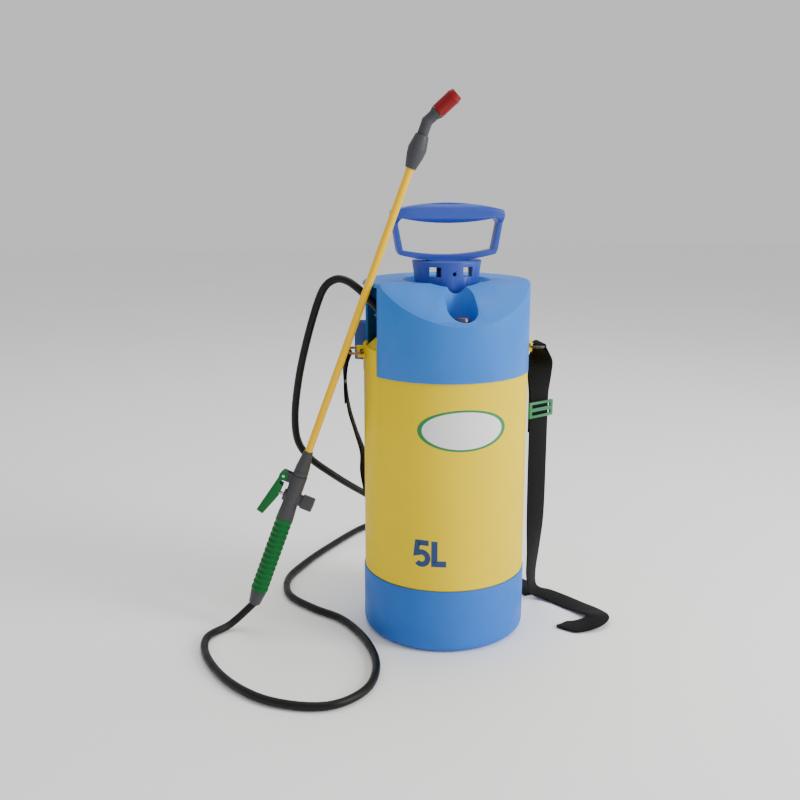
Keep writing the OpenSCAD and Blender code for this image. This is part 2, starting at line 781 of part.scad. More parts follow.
module lever() {
    color("green") on_lance(pivot_s) translate([pivot_x, 0, 0]) rotate([0, lever_angle, 0]) {
        difference() {
            union() {
                translate([-lever_t, -lever_w / 2, -lever_len]) cube([lever_t, lever_w, lever_len]);
                rotate([90, 0, 0]) cylinder(r = 5, h = lever_w, center = true);
                for (side = [0, lever_w - 2]) translate([0, lever_w / 2 - side, 0])
                    rotate([90, 0, 0]) linear_extrude(height = 2) polygon([[-1, -10], [4.5, -10],
                        [lever_deep, -26], [lever_tip, -lever_len], [-1, -lever_len]]);
            }
            for (side = [-1, 1]) translate([-6, side * (lever_w / 2 - 2) - 1 - fit, -9])
                cube([20, 2 + 2 * fit, 20]);
            rotate([90, 0, 0]) cylinder(d = lever_pin_d + 2 * run, h = 30, center = true);
            translate([-lever_t - 1, -2, -lever_len - 1]) cube([lever_t + 2, 4, 6]);
        }
    }
}

module lever_pin() {
    color("silver") on_lance(pivot_s) translate([pivot_x, 0, 0]) rotate([90, 0, 0])
        cylinder(d = lever_pin_d, h = lever_w, center = true);
}

module lance_nut() {
    color("dimgray") on_lance(body_end_s + fit) difference() {
        union() {
            cylinder(r = head_r - 0.5, h = 5);
            translate([0, 0, 5 - eps]) cylinder(r = head_r - 1.1, h = 2);
            translate([0, 0, 7 - 2 * eps]) cylinder(r1 = head_r - 0.5, r2 = 5, h = nut_len - 7);
        }
        translate([0, 0, -1]) cylinder(r = 6 + run, h = 13 + run);
        translate([0, 0, -1]) cylinder(r = lance_d / 2 + run, h = nut_len + 2);
    }
}

module lance_seal() {
    color("black") on_lance(body_end_s + 12) ring(5.8, lance_d / 2 + run, 0.3);
}

module lance_tube() {
    color("gold") on_lance(tube_s - socket_in) ring(lance_d / 2, lance_d / 2 - 1.2,
        lance_len + 2 * socket_in);
}

module union_nut() {
    color("gray") on_lance(tube_end_s) difference() {
        union() {
            cylinder(r1 = 5.5, r2 = union_r - 1, h = 12);
            translate([0, 0, 12 - eps]) cylinder(r1 = union_r - 1, r2 = union_r, h = 8);
            translate([0, 0, 20 - 2 * eps]) cylinder(r1 = union_r, r2 = 6.8, h = union_len - 20);
        }
        translate([0, 0, -1]) cylinder(r = lance_d / 2 + run, h = socket_in + 1);
        translate([0, 0, socket_in - eps]) cylinder(r = elbow_r + run, h = 40);
    }
}

module elbow() {
    color("gray") difference() {
        union() {
            on_lance(tube_end_s + socket_in + fit) cylinder(r = elbow_r, h = elbow_s - tube_end_s
                - socket_in + elbow_straight + knee - fit);
            at_elbow_end(-knee) sphere(r = elbow_r + 0.2);
            at_elbow_end(-knee) cylinder(r = elbow_r, h = knee + 5);
            at_elbow_end(2) cylinder(r1 = elbow_r - 0.5, r2 = nozzle_r - 0.3, h = 6);
            at_elbow_end(7) cylinder(r = 4, h = 11);
        }
        on_lance(tube_end_s) cylinder(r = 2.5, h = elbow_s - tube_end_s + elbow_straight + knee);
        at_elbow_end(-knee) sphere(r = 2.8);
        at_elbow_end(-knee) cylinder(r = 2.5, h = 40);
        at_elbow_end(13) ring(6, 3.2, 1.8);
    }
}

module elbow_seal() {
    color("black") on_lance(tube_end_s + socket_in) ring(elbow_r, 3, fit - run);
}

module nozzle() {
    color("firebrick") at_elbow_end(8 + nozzle_gap) difference() {
        union() {
            cylinder(r = nozzle_r - 0.4, h = nozzle_len - 6);
            translate([0, 0, nozzle_len - 6 - eps]) cylinder(r1 = nozzle_r, r2 = nozzle_r - 1.5, h = 6);
        }
        translate([0, 0, -1]) cylinder(r = 4 + run, h = 16);
        translate([0, 0, 10]) cylinder(r = 1, h = 30);
        translate([0, 0, nozzle_len - 4]) cylinder(r = nozzle_r - 3, h = 5);
        for (a = [0:60:300]) rotate([0, 0, a]) translate([nozzle_r + 0.6, 0, 3]) cylinder(r = 1.2, h = 13);
    }
}

module nozzle_core() {
    color("silver") at_elbow_end(18.2) difference() {
        cylinder(r = 3.4, h = 4.5);
        translate([0, 0, -1]) cylinder(r = 0.8, h = 8);
    }
}

module nozzle_seal() {
    color("black") at_elbow_end(13.1) ring(4, 3.25, 1.6);
}

tank();
base_cup();
cover();
neck_gasket();
dip_tube();
dip_filter();
outlet_fitting();
outlet_gasket();
outlet_nut();
hose();
relief_body();
relief_knob();
relief_spring();
relief_cap();
relief_seal();
lance_clip();
ring_left();
ring_right();
strap_left();
strap_floor();
strap_right();
strap_slider();
pump_cap();
pump_barrel();
rod_guide();
guide_seal();
check_valve();
piston_rod();
piston();
cup_seal();
rod_nut();
handle();
handle_pin();
gun_body();
grip_sleeve();
gun_end_cap();
gun_filter();
valve_cap();
valve_seal();
valve_stem();
valve_spring();
lever();
lever_pin();
lance_nut();
lance_seal();
lance_tube();
union_nut();
elbow();
elbow_seal();
nozzle();
nozzle_core();
nozzle_seal();
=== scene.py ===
import math

import bmesh
import bpy
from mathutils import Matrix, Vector


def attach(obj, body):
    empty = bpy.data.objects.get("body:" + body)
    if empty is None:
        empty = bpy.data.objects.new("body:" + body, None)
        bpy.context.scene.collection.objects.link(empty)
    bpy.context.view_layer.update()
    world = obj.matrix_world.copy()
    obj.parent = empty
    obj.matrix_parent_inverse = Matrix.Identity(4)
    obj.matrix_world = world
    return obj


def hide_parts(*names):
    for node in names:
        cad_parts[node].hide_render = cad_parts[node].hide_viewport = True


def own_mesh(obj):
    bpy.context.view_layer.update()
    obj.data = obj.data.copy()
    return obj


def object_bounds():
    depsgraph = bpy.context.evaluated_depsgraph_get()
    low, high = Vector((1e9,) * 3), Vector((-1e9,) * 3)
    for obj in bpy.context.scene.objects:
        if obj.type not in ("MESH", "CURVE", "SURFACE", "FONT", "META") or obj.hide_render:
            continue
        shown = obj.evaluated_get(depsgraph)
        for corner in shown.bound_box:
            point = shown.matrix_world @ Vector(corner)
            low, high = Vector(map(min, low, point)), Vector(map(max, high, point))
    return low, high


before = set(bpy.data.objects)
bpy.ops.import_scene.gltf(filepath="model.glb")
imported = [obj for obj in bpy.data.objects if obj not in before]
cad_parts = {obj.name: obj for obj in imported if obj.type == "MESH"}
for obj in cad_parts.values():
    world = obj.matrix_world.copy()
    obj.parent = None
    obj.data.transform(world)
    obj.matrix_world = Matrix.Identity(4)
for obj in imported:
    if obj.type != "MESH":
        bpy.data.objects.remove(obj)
CAD_LOW, CAD_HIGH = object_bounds()
MM = 0.001


# ---------------------------------------------------------------- hose route
# The hose leaves its outlet on the tank's left shoulder and ends in the foot of the gun.
HOSE_D = 8.5
HOSE_ROUTE = [
    (-72, 6, 358), (-82, 10, 369), (-93, 14, 380), (-104, 18, 388), (-115, 23, 390),
    (-126, 28, 383), (-134, 34, 366), (-145, 41, 328), (-155, 51, 281), (-160, 62, 233),
    (-156, 74, 198), (-140, 89, 172), (-116, 109, 148), (-90, 132, 124), (-64, 154, 102),
    (-34, 174, 78), (0, 193, 54), (30, 212, 34), (52, 236, 18), (60, 264, 7),
    (50, 292, 4.25), (24, 310, 4.25), (-10, 312, 4.25), (-49, 294, 4.25), (-103, 232, 4.25),
    (-143, 178, 4.25), (-168, 132, 4.25), (-170, 84, 4.25), (-146, 42, 4.25), (-116, 5, 4.25),
    (-98, -50, 4.25), (-96, -106, 4.25), (-115, -153, 4.25), (-156, -175, 4.25),
    (-208, -156, 4.25), (-246, -112, 4.25), (-268, -55, 4.25), (-268, -10, 4.25),
    (-242, 14, 6.25), (-214.71, 13.68, 30)]


# ---------------------------------------------------------------- camera
CAMERA_AT = Vector((-244.5, -997.7, 493)) * MM
CAMERA_TURN = math.radians(11)
CAMERA_PITCH = math.radians(12.93)
LENS = 43.07
SENSOR_WIDTH = 36
VIEW_END = 20


def make_camera():
    data = bpy.data.cameras.new("camera")
    data.lens = LENS
    data.sensor_width = SENSOR_WIDTH
    data.clip_end = VIEW_END
    camera = bpy.data.objects.new("camera", data)
    bpy.context.scene.collection.objects.link(camera)
    ahead = Vector((math.sin(CAMERA_TURN) * math.cos(CAMERA_PITCH),
                    math.cos(CAMERA_TURN) * math.cos(CAMERA_PITCH),
                    -math.sin(CAMERA_PITCH)))
    camera.location = CAMERA_AT
    camera.rotation_mode = "QUATERNION"
    camera.rotation_quaternion = ahead.to_track_quat("-Z", "Y")
    bpy.context.scene.camera = camera


make_camera()


# ---------------------------------------------------------------- materials
# Texture scales of the moulded plastic, from its colour drift to its grain.
DRIFT_SCALE = 9
SCUFF_SCALE = 45
GRAIN_SCALE = 1400
WAVE_SCALE = 60
WAVE_DEPTH = 0.08
NOISE_ROUGH = 0.6
# The weave of the webbing.
RIB_SCALE = 230
WARP_SCALE = 300


class Look:
    """A procedural material: a Principled shader with helpers for its texture nodes."""

    def __init__(self, name, color, rough, metal=0.0, coat=0.0, specular=0.5):
        self.mat = bpy.data.materials.new(name)
        self.mat.use_nodes = True
        self.tree = self.mat.node_tree
        self.shader = self.tree.nodes["Principled BSDF"]
        self.color = (*color, 1)
        self.shader.inputs["Base Color"].default_value = self.color
        self.shader.inputs["Roughness"].default_value = rough
        self.shader.inputs["Metallic"].default_value = metal
        self.shader.inputs["Coat Weight"].default_value = coat
        self.shader.inputs["Specular IOR Level"].default_value = specular
        self.coords = self.tree.nodes.new("ShaderNodeTexCoord")
        self.bumped = None

    def node(self, kind, **values):
        made = self.tree.nodes.new("ShaderNode" + kind)
        for key, value in values.items():
            setattr(made, key, value)
        return made

    def link(self, a, b):
        self.tree.links.new(a, b)

    def placed(self, scale=(1, 1, 1), by="Object"):
        mapping = self.node("Mapping")
        mapping.inputs["Scale"].default_value = scale
        self.link(self.coords.outputs[by], mapping.inputs["Vector"])
        return mapping.outputs["Vector"]

    def noise(self, scale, detail, stretch=(1, 1, 1)):
        made = self.node("TexNoise")
        made.inputs["Scale"].default_value = scale
        made.inputs["Detail"].default_value = detail
        made.inputs["Roughness"].default_value = NOISE_ROUGH
        self.link(self.placed(stretch), made.inputs["Vector"])
        return made.outputs["Fac"]

    def ramp(self, factor, stops):
        made = self.node("ValToRGB")
        ramp = made.color_ramp
        while len(ramp.elements) < len(stops):
            ramp.elements.new(0.5)
        for element, (place, value) in zip(ramp.elements, stops):
            element.position = place
            element.color = (*value, 1)
        self.link(factor, made.inputs["Fac"])
        return made.outputs["Color"]

    def tint(self, factor, low, high, place=(0.35, 0.65)):
        """Base colour from low to high times the plain colour, by a texture."""
        dark = tuple(c * low for c in self.color[:3])
        light = tuple(min(c * high, 1) for c in self.color[:3])
        self.link(self.ramp(factor, [(place[0], dark), (place[1], light)]),
                  self.shader.inputs["Base Color"])

    def shine(self, factor, low, high):
        """Roughness from low to high, by a texture."""
        grey = self.ramp(factor, [(0.35, (low,) * 3), (0.65, (high,) * 3)])
        self.link(grey, self.shader.inputs["Roughness"])

    def bump(self, height, depth, strength):
        """Adds relief of a depth in millimetres over any that is there already."""
        made = self.node("Bump")
        made.inputs["Distance"].default_value = depth * MM
        made.inputs["Strength"].default_value = strength
        self.link(height, made.inputs["Height"])
        if self.bumped:
            self.link(self.bumped, made.inputs["Normal"])
        self.bumped = made.outputs["Normal"]
        self.link(self.bumped, self.shader.inputs["Normal"])


def moulded(name, color, rough=0.42, grain=0.05, spread=0.06, coat=0.0, shine=0.4):
    """Injection-moulded plastic: slight colour drift, fine grain and soft scuffs."""
    look = Look(name, color, rough, coat=coat, specular=shine)
    look.tint(look.noise(DRIFT_SCALE, 5), 1 - spread, 1 + spread)
    look.shine(look.noise(SCUFF_SCALE, 6), rough - 0.07, rough + 0.1)
    look.bump(look.noise(GRAIN_SCALE, 2), grain, 0.35)
    look.bump(look.noise(WAVE_SCALE, 3), WAVE_DEPTH, 0.25)
    return look


def rubber(name, color=(0.012, 0.012, 0.013), rough=0.5):
    look = Look(name, color, rough, specular=0.25)
    look.tint(look.noise(30, 4), 0.8, 1.3)
    look.shine(look.noise(90, 4), rough - 0.08, rough + 0.12)
    look.bump(look.noise(900, 2), 0.03, 0.3)
    return look


def metal(name, color=(0.55, 0.55, 0.56), rough=0.28):
    look = Look(name, color, rough, metal=1.0)
    look.shine(look.noise(400, 3, stretch=(1, 1, 0.05)), rough - 0.08, rough + 0.15)
    look.tint(look.noise(25, 4), 0.85, 1.08)
    look.bump(look.noise(700, 2, stretch=(1, 1, 0.1)), 0.02, 0.3)
    return look


def webbing(name):
    """Woven polypropylene band: V runs along the webbing and U across it, in metres."""
    look = Look(name, (0.004, 0.004, 0.0045), 0.75, specular=0.12)
    ribs = look.node("TexWave", wave_type="BANDS", bands_direction="Y", wave_profile="SIN")
    ribs.inputs["Scale"].default_value = RIB_SCALE
    ribs.inputs["Distortion"].default_value = 0.3
    look.link(look.placed(by="UV"), ribs.inputs["Vector"])
    warp = look.node("TexWave", wave_type="BANDS", bands_direction="X", wave_profile="SIN")
    warp.inputs["Scale"].default_value = WARP_SCALE
    warp.inputs["Distortion"].default_value = 0.4
    look.link(look.placed(by="UV"), warp.inputs["Vector"])
    weave = look.node("Math", operation="MULTIPLY")
    look.link(ribs.outputs["Fac"], weave.inputs[0])
    look.link(warp.outputs["Fac"], weave.inputs[1])
    look.tint(weave.outputs["Value"], 0.7, 2.4, place=(0.1, 0.8))
    look.bump(weave.outputs["Value"], 0.25, 0.9)
    look.bump(look.noise(1200, 3), 0.05, 0.4)
    look.shader.inputs["Sheen Weight"].default_value = 0.05
    look.shader.inputs["Sheen Roughness"].default_value = 0.4
    return look


YELLOW = moulded("tank_yellow", (0.84, 0.61, 0.0), rough=0.5, grain=0.03, spread=0.03,
                 shine=0.08)
COVER_BLUE = moulded("cover_blue", (0.028, 0.185, 0.62), rough=0.48, shine=0.2)
BASE_BLUE = moulded("base_blue", (0.024, 0.150, 0.56), rough=0.48, shine=0.2)
HANDLE_BLUE = moulded("handle_blue", (0.022, 0.058, 0.36), rough=0.40)
DARK_BLUE = moulded("dark_blue", (0.02, 0.055, 0.24), rough=0.42)
GREY = moulded("gun_grey", (0.052, 0.053, 0.058), rough=0.45, shine=0.25)
GREEN = moulded("grip_green", (0.004, 0.125, 0.024), rough=0.45, shine=0.2)
SLIDER_GREEN = moulded("slider_green", (0.012, 0.16, 0.055), rough=0.35)
RED = moulded("nozzle_red", (0.22, 0.004, 0.006), rough=0.42, shine=0.25)
PURPLE = moulded("knob_purple", (0.050, 0.030, 0.090), rough=0.22, coat=0.4)
LANCE_YELLOW = moulded("lance_yellow", (0.95, 0.55, 0.0), rough=0.4, grain=0.02,
                       shine=0.12)
BLACK = moulded("fitting_black", (0.012, 0.012, 0.013), rough=0.36)
NATURAL = moulded("natural_plastic", (0.62, 0.62, 0.58), rough=0.45)
HOSE_LOOK = rubber("hose_rubber", (0.004, 0.0045, 0.0045), rough=0.42)
SEAL = rubber("seal_rubber")
STEEL = metal("bright_steel")
BRONZE = metal("bronze_wire", (0.32, 0.17, 0.08), 0.35)
BLACK_WIRE = moulded("black_wire", (0.010, 0.010, 0.011), rough=0.18, coat=0.6)
WEBBING = webbing("webbing")
BADGE_WHITE = moulded("badge_white", (0.80, 0.81, 0.80), rough=0.45, spread=0.02)
BADGE_RIM = moulded("badge_rim", (0.01, 0.22, 0.06), rough=0.4, spread=0.04)
MARK_BLUE = moulded("mark_blue", (0.016, 0.055, 0.17), rough=0.5, spread=0.08)


# ---------------------------------------------------------------- mesh helpers
# Lengths in millimetres and angles in degrees.
WELD = 0.002
CAD_WELD = 0.01
CAD_FLAT_ANGLE = 1.5
BEVEL_ANGLE = 32
BEVEL_SEGMENTS = 2
SOFT_SHARP_ANGLE = 45
BAND_SHARP_ANGLE = 60


def shade_smooth(mesh):
    mesh.polygons.foreach_set("use_smooth", [True] * len(mesh.polygons))


def add(name, mesh, look, body, nodes=()):
    """Adds a piece that rides a body, in place of the CAD nodes it stands for."""
    piece = bpy.data.objects.new(name, mesh)
    bpy.context.scene.collection.objects.link(piece)
    mesh.materials.clear()
    mesh.materials.append(look.mat)
    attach(piece, body)
    if nodes:
        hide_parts(*nodes)
    return piece


def mesh_of(name, points, faces):
    """A smooth mesh from points in millimetres."""
    mesh = bpy.data.meshes.new(name)
    mesh.from_pydata([tuple(Vector(p) * MM) for p in points], [], faces)
    mesh.validate()
    work = bmesh.new()
    work.from_mesh(mesh)
    bmesh.ops.recalc_face_normals(work, faces=work.faces)
    work.to_mesh(mesh)
    work.free()
    shade_smooth(mesh)
    return mesh


def apply_modifiers(piece):
    """Makes the piece's modifiers part of its mesh."""
    graph = bpy.context.evaluated_depsgraph_get()
    made = bpy.data.meshes.new_from_object(piece.evaluated_get(graph))
    old = piece.data
    piece.modifiers.clear()
    piece.data = made
    bpy.data.meshes.remove(old)


def sharpen(piece, angle):
    """Marks edges that turn by more than an angle in degrees as sharp."""
    work = bmesh.new()
    work.from_mesh(piece.data)
    for edge in work.edges:
        if len(edge.link_faces) == 2:
            edge.smooth = edge.calc_face_angle(0) < math.radians(angle)
    for face in work.faces:
        face.smooth = True
    work.to_mesh(piece.data)
    work.free()


def weld(mesh):
    """Joins points that meet, so that no face is left with no area."""
    work = bmesh.new()
    work.from_mesh(mesh)
    bmesh.ops.remove_doubles(work, verts=work.verts, dist=WELD * MM)
    bmesh.ops.dissolve_degenerate(work, edges=work.edges, dist=WELD * MM)
    bmesh.ops.recalc_face_normals(work, faces=work.faces)
    work.to_mesh(mesh)
    work.free()
    shade_smooth(mesh)


def softened(node, look, body, width):
    """A copy of a CAD node's shape with its sharp edges rounded, in the node's place."""
    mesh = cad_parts[node].data.copy()
    work = bmesh.new()
    work.from_mesh(mesh)
    bmesh.ops.remove_doubles(work, verts=work.verts, dist=CAD_WELD * MM)
    bmesh.ops.dissolve_limit(work, angle_limit=math.radians(CAD_FLAT_ANGLE),
                             verts=work.verts, edges=work.edges)
    bmesh.ops.recalc_face_normals(work, faces=work.faces)
    work.to_mesh(mesh)
    work.free()
    piece = add(node + "_soft", mesh, look, body, [node])
    bevel = piece.modifiers.new("edges", "BEVEL")
    bevel.width = width * MM
    bevel.segments = BEVEL_SEGMENTS
    bevel.limit_method = "ANGLE"
    bevel.angle_limit = math.radians(BEVEL_ANGLE)
    bevel.use_clamp_overlap = True
    bevel.harden_normals = False
    apply_modifiers(piece)
    sharpen(piece, SOFT_SHARP_ANGLE)
    return piece


def dress(node, look):
    """A CAD node that shows as it is, with a finished material."""
    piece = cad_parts[node]
    piece.data.materials.clear()
    piece.data.materials.append(look.mat)
    shade_smooth(piece.data)


# ---------------------------------------------------------------- curves
CORD_STEPS = 6
CORD_ROUNDNESS = 8


def blend(a, b, c, d, t):
    """A Catmull-Rom curve between b and c."""
    return 0.5 * (2 * b + (c - a) * t + (2 * a - 5 * b + 4 * c - d) * t * t
                  + (3 * b - a - 3 * c + d) * t * t * t)


def smooth_line(stops, steps):
    """The smooth curve that the CAD's cords and bands follow, with more steps."""
    stops = [Vector(s) for s in stops]
    last = len(stops) - 1
    line = []
    for i in range(last):
        a, b = stops[max(i - 1, 0)], stops[i]
        c, d = stops[i + 1], stops[min(i + 2, last)]
        line += [blend(a, b, c, d, k / steps) for k in range(steps)]
    return line + [stops[last]]


def tube_piece(name, line, radius, look, body, nodes):
    """A round cord along a line of points in millimetres, as a curve of one open spline."""
    data = bpy.data.curves.new(name, "CURVE")
    data.dimensions = "3D"
    data.bevel_depth = radius * MM
    data.bevel_resolution = CORD_ROUNDNESS
    data.use_fill_caps = True
    data.twist_mode = "MINIMUM"
    spline = data.splines.new("POLY")
    spline.points.add(len(line) - 1)
    for point, place in zip(spline.points, line):
        point.co = (*(Vector(place) * MM), 1)
    spline.use_smooth = True
    piece = bpy.data.objects.new(name, data)
    bpy.context.scene.collection.objects.link(piece)
    data.materials.append(look.mat)
    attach(piece, body)
    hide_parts(*nodes)
    return piece


def make_hose():
    line = smooth_line(HOSE_ROUTE, CORD_STEPS)
    hose = tube_piece("hose_cord", line, HOSE_D / 2, HOSE_LOOK, "sprayer", ["hose"])


make_hose()


# ---------------------------------------------------------------- straps
STRAP_W = 28
STRAP_T = 1.6
LAYER = 1.95
LUG_Z = 316
RING_IN = 93
RING_OUT = 107
WIRE_R = 1.5
WIRE_AROUND = 16
RING_SPARE = 4
RING_CORNER = 5
CORNER_STEPS = 8
BAND_STEPS = 8
# The webbing's fold over a ring's bar, with angles in degrees from straight out.
FOLD_GAP = 0.15
FOLD_START = -15
FOLD_SWEEP = 210
FOLD_STEPS = 12
BELOW_FOLD = 306
LEFT_LAYER_END = 258
RIGHT_LAYER_END = 214
TIP_LENGTH = 16
TIP_SHARE = 0.12
LEFT_ROUTE = [
    ((-107, 3, 312), (0, 1, 0)), ((-109, 5, 290), (0.1, 1, 0)), ((-106, 10, 255), (0.2, 1, 0)),
    ((-97, 22, 224), (0.2, 1, 0)), ((-87, 38, 195), (0.3, 1, 0)), ((-80, 54, 165), (0.6, 0.8, 0)),
    ((-68, 72, 120), (0.7, 0.7, 0)), ((-54, 92, 70), (0.7, 0.7, 0)),
    ((-40, 112, 26), (0.4, 0.9, 0)),
    ((-22, 128, 6), (0, 1, 0)), ((0, 136, 1.5), (0, 1, 0)), ((30, 138, 1.2), (-0.1, 1, 0))]
FLOOR_ROUTE = [
    ((30, 138, 1.2), (-0.1, 1, 0)), ((68, 124, 1.2), (0.4, 1, 0)), ((98, 98, 1.2), (1, 1, 0)),
    ((116, 66, 1.2), (1, 0.5, 0)), ((124, 40, 1.2), (1, 0.3, 0))]
RIGHT_ROUTE = [
    ((107, 0, 312), (0, -1, 0)), ((106.6, -3, 301), (0.75, -0.66, 0)),
    ((106, -6, 290), (1, -0.1, 0)),
    ((105.2, -9, 275), (0.97, 0.25, 0)), ((104.5, -11, 262), (0.9, 0.42, 0)),
    ((104, -12, 240), (0.9, 0.44, 0)), ((104, -12, 180), (0.9, 0.44, 0)),
    ((104, -12, 120), (0.9, 0.5, 0)), ((105, -6, 78), (0.8, 0.7, 0)),
    ((109, 10, 42), (0.7, 0.8, 0)),
    ((117, 26, 16), (0.6, 0.9, 0)), ((126, 33, 5.5), (0.6, 0.9, 0)),
    ((136, 30, 3.2), (0.7, 0.8, 0)),
    ((148, 16, 1.6), (0.8, 0.6, 0)), ((158, -2, 1.6), (0.9, 0.3, 0)), ((168, -22, 3), (1, 0.1, 0)),
    ((172, -42, 6), (0.9, -0.5, 0)), ((162, -55, 5), (0.3, -1, 0)), ((146, -57, 2), (0, -1, 0)),
    ((130, -55, 1.4), (0, -1, 0)), ((120, -51, 1.4), (-0.2, -1, 0))]


def band_line(route):
    """Places and width directions along a band."""
    places = smooth_line([stop[0] for stop in route], BAND_STEPS)
    sides = smooth_line([stop[1] for stop in route], BAND_STEPS)
    return [(place, side.normalized()) for place, side in zip(places, sides)]


def facing(band, k):
    """The direction that the band's face looks in at one station."""
    ahead = band[min(k + 1, len(band) - 1)][0] - band[max(k - 1, 0)][0]
    return ahead.normalized().cross(band[k][1]).normalized()


def over_ring(band, side, layer_end):
    """The band with a second layer that starts at a height, climbs and folds over its ring's
    outer bar before the band's own way down."""
    out = Vector((side, 0, 0))
    flip = 1 if facing(band, 1).dot(out) > 0 else -1
    layer = []
    for k, (place, way) in enumerate(band):
        if layer_end <= place.z <= BELOW_FOLD:
            layer.append((place + flip * LAYER * facing(band, k), way))
    reach = WIRE_R + STRAP_T / 2 + FOLD_GAP
    y = band[0][0].y
    fold = []
    for k in range(FOLD_STEPS + 1):
        turn = math.radians(FOLD_START + FOLD_SWEEP * k / FOLD_STEPS)
        spot = Vector((side * (RING_OUT + reach * math.cos(turn)), y,
                       LUG_Z + reach * math.sin(turn)))
        fold.append((spot, band[0][1]))
    down = [station for station in band if station[0].z < BELOW_FOLD]
    return layer[::-1] + fold + down


def ribbon(name, band, look, nodes, point=0):
    """A strip of webbing with rounded edges; point is the length of its tapered end."""
    count = len(band)
    section = [(-0.5, 0), (-0.49, 0.35), (-0.465, 0.5), (0, 0.5), (0.465, 0.5), (0.49, 0.35),
               (0.5, 0), (0.49, -0.35), (0.465, -0.5), (0, -0.5), (-0.465, -0.5), (-0.49, -0.35)]
    along = [0.0]
    for k in range(1, count):
        along.append(along[-1] + (band[k][0] - band[k - 1][0]).length)
    points, faces, flat = [], [], []
    for k, (place, side) in enumerate(band):
        up = facing(band, k)
        left = along[-1] - along[k]
        wide = STRAP_W
        if left < point:
            wide *= TIP_SHARE + (1 - TIP_SHARE) * left / point
        for u, v in section:
            points.append(place + side * (u * wide) + up * (v * STRAP_T))
            flat.append((u * wide * MM, along[k] * MM))
    around = len(section)
    for k in range(count - 1):
        for i in range(around):
            a = k * around + i
            b = k * around + (i + 1) % around
            faces.append((a, b, b + around, a + around))
    faces.append(tuple(range(around))[::-1])
    faces.append(tuple((count - 1) * around + i for i in range(around)))
    mesh = bpy.data.meshes.new(name)
    mesh.from_pydata([tuple(p * MM) for p in points], [], faces)
    layer = mesh.uv_layers.new(name="flat")
    for loop in mesh.loops:
        layer.data[loop.index].uv = flat[loop.vertex_index]
    work = bmesh.new()
    work.from_mesh(mesh)
    bmesh.ops.recalc_face_normals(work, faces=work.faces)
    work.to_mesh(mesh)
    work.free()
    shade_smooth(mesh)
    piece = add(name, mesh, look, "sprayer", nodes)
    sharpen(piece, BAND_SHARP_ANGLE)
    return piece


def make_straps():
    left = over_ring(band_line(LEFT_ROUTE), -1, LEFT_LAYER_END)
    right = over_ring(band_line(RIGHT_ROUTE), 1, RIGHT_LAYER_END)
    ribbon("webbing_left", left, WEBBING, ["strap_left"])
    ribbon("webbing_floor", band_line(FLOOR_ROUTE), WEBBING, ["strap_floor"])
    ribbon("webbing_right", right, WEBBING, ["strap_right"], point=TIP_LENGTH)


make_straps()


def flat_loop(line, radius):
    """Points and faces of a round wire along a closed line in a level plane."""
    points, faces = [], []
    count = len(line)
    around = WIRE_AROUND
    for k in range(count):
        ahead = Vector(line[(k + 1) % count]) - Vector(line[k - 1])
        out = ahead.normalized().cross(Vector((0, 0, 1)))
        for i in range(around):
            turn = 2 * math.pi * i / around
            points.append(Vector(line[k]) + out * (radius * math.cos(turn))
                          + Vector((0, 0, radius * math.sin(turn))))
    for k in range(count):
        for i in range(around):
            a, b = k * around, (k + 1) % count * around
            j = (i + 1) % around
            faces.append((a + i, a + j, b + j, b + i))
    return points, faces


def make_ring(name, side, look, node):
    """A wire ring: a rounded rectangle of round wire through the tank's lug."""
    line = []
    half = STRAP_W / 2 + RING_SPARE
    corner = RING_CORNER
    middle = (RING_IN + RING_OUT) / 2
    reach = (RING_OUT - RING_IN) / 2
    for cx, cy, start in ((1, 1, 0), (-1, 1, 90), (-1, -1, 180), (1, -1, 270)):
        for k in range(CORNER_STEPS + 1):
            turn = math.radians(start + 90 * k / CORNER_STEPS)
            x = cx * (reach - corner) + corner * math.cos(turn)
            y = cy * (half - corner) + corner * math.sin(turn)
            line.append((side * (middle + x), y, LUG_Z))
    points, faces = flat_loop(line, WIRE_R)
    mesh = mesh_of(name, points, faces)
    add(name, mesh, look, "sprayer", [node])


make_ring("wire_ring_left", -1, BRONZE, "ring_left")
make_ring("wire_ring_right", 1, BLACK_WIRE, "ring_right")


# ---------------------------------------------------------------- CAD shapes that show
# Node: its look, its body and the width of its rounded edges in millimetres.
SOFT = {
    "tank": (YELLOW, "sprayer", 1.2), "base_cup": (BASE_BLUE, "sprayer", 1.0),
    "cover": (COVER_BLUE, "sprayer", 1.2), "lance_clip": (DARK_BLUE, "sprayer", 1.0),
    "outlet_fitting": (BLACK, "sprayer", 0.4), "outlet_nut": (BLACK, "sprayer", 0.5),
    "relief_body": (GREY, "sprayer", 0.5), "relief_knob": (PURPLE, "relief", 0.8),
    "relief_cap": (GREY, "sprayer", 0.2),
    "strap_slider": (SLIDER_GREEN, "sprayer", 0.7), "pump_cap": (DARK_BLUE, "pump", 0.8),
    "handle": (HANDLE_BLUE, "plunger", 1.3), "gun_body": (GREY, "sprayer", 0.6),
    "grip_sleeve": (GREEN, "sprayer", 0.4), "gun_end_cap": (GREY, "sprayer", 0.5),
    "valve_cap": (GREY, "sprayer", 0.6), "lever": (GREEN, "trigger", 0.8),
    "lance_nut": (GREY, "sprayer", 0.4), "union_nut": (GREY, "sprayer", 0.5),
    "elbow": (GREY, "elbow_arm", 0.4), "nozzle": (RED, "nozzle_tip", 0.6),
}


def soften_all():
    for node, (look, body, width) in SOFT.items():
        softened(node, look, body, width)


soften_all()

# The relief spring is a rounded copy with a mesh of its own, and it rides the sprayer body.
SPRING_EDGE = 0.15


def make_relief_spring():
    spring = softened("relief_spring", STEEL, "sprayer", SPRING_EDGE)
    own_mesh(spring)


make_relief_spring()

